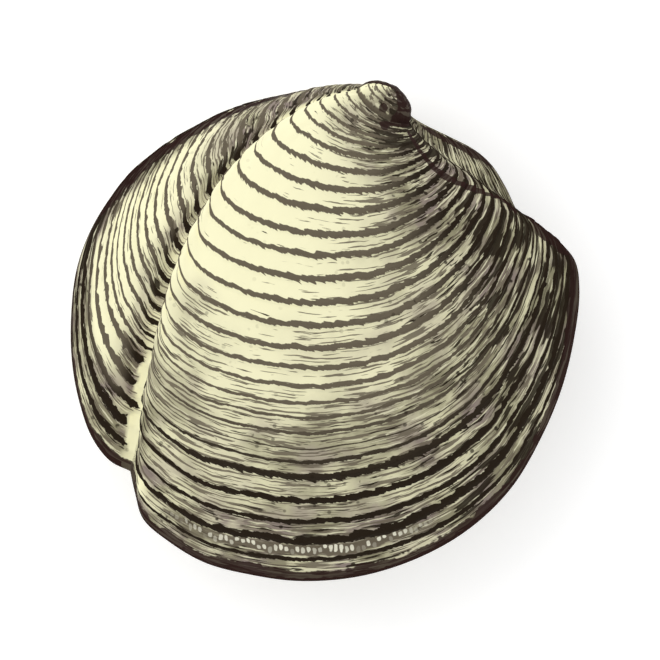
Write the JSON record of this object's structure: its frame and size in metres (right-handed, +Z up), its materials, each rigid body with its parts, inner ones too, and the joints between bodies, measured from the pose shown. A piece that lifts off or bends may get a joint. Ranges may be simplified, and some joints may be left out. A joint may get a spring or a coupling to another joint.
{
  "type": "fossil clam",
  "caption": "Closed fossil clam lying on one valve, with curled beaks, stepped concentric growth lines and a deep rear furrow.",
  "frame": {"origin": "middle of the shell's outline, level with the worn flat under the left valve", "axes": "+X to the front of the clam, +Y to the hinge and the beaks, +Z up through the right valve"},
  "size_m": [0.0712, 0.07, 0.0357],
  "materials": {
    "fossil_shell": "matt chalky shell, cream with dark brown growth lines"
  },
  "bodies": {
    "root": {"right_valve": "fossil_shell", "left_valve": "fossil_shell"}
  },
  "joints": []
}
